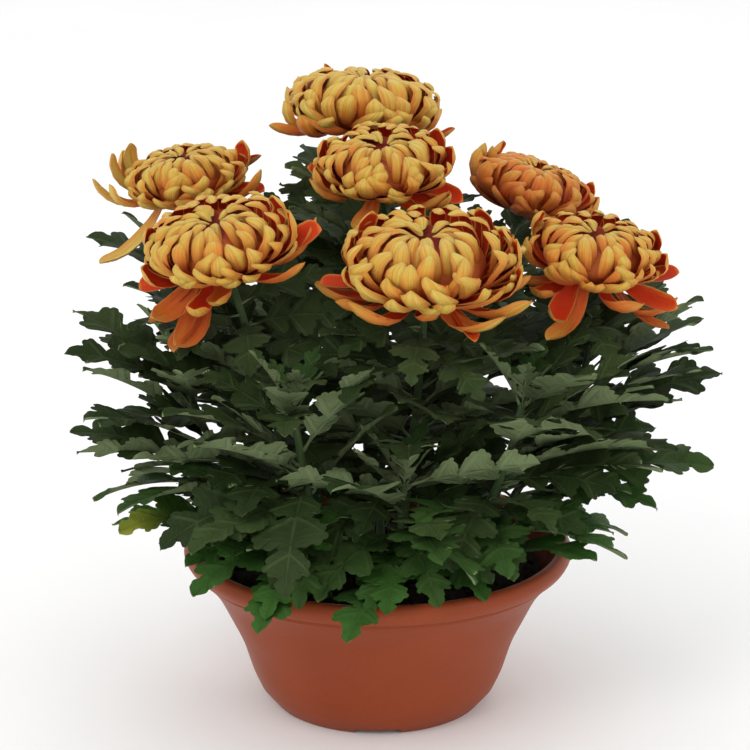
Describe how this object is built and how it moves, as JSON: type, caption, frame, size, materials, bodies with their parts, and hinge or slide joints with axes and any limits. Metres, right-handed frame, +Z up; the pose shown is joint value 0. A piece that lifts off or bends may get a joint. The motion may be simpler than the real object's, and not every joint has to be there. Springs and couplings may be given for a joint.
{
  "type": "potted chrysanthemum",
  "caption": "Pot chrysanthemum: large bronze incurved blooms over lobed dark leaves, planted in a flared bowl, to stand on a surface.",
  "frame": {"origin": "middle of the pot's underside, on the surface that it stands on", "axes": "+Z up through the pot, -Y towards the viewer of the picture, +X to the viewer's right"},
  "size_m": [0.3851, 0.3259, 0.3588],
  "materials": {
    "terracotta_plastic": "satin",
    "compost": "matte",
    "foliage": "matte",
    "petals": "satin"
  },
  "bodies": {
    "root": {"pot": "terracotta_plastic", "soil": "compost", "leafy_stem_back": "foliage", "leafy_stem_middle": "foliage", "leafy_stem_left_back": "foliage", "leafy_stem_left_front": "foliage", "leafy_stem_front": "foliage", "leafy_stem_right_back": "foliage", "leafy_stem_right_front": "foliage", "leafy_shoot_front_left": "foliage", "leafy_shoot_front_middle": "foliage", "leafy_shoot_front_right": "foliage", "leafy_shoot_left": "foliage", "leafy_shoot_back_left": "foliage", "leafy_shoot_back_right": "foliage", "leafy_shoot_right": "foliage", "bloom_back": "petals", "bloom_middle": "petals", "bloom_left_back": "petals", "bloom_left_front": "petals", "bloom_front": "petals", "bloom_right_back": "petals", "bloom_right_front": "petals"}
  },
  "joints": []
}
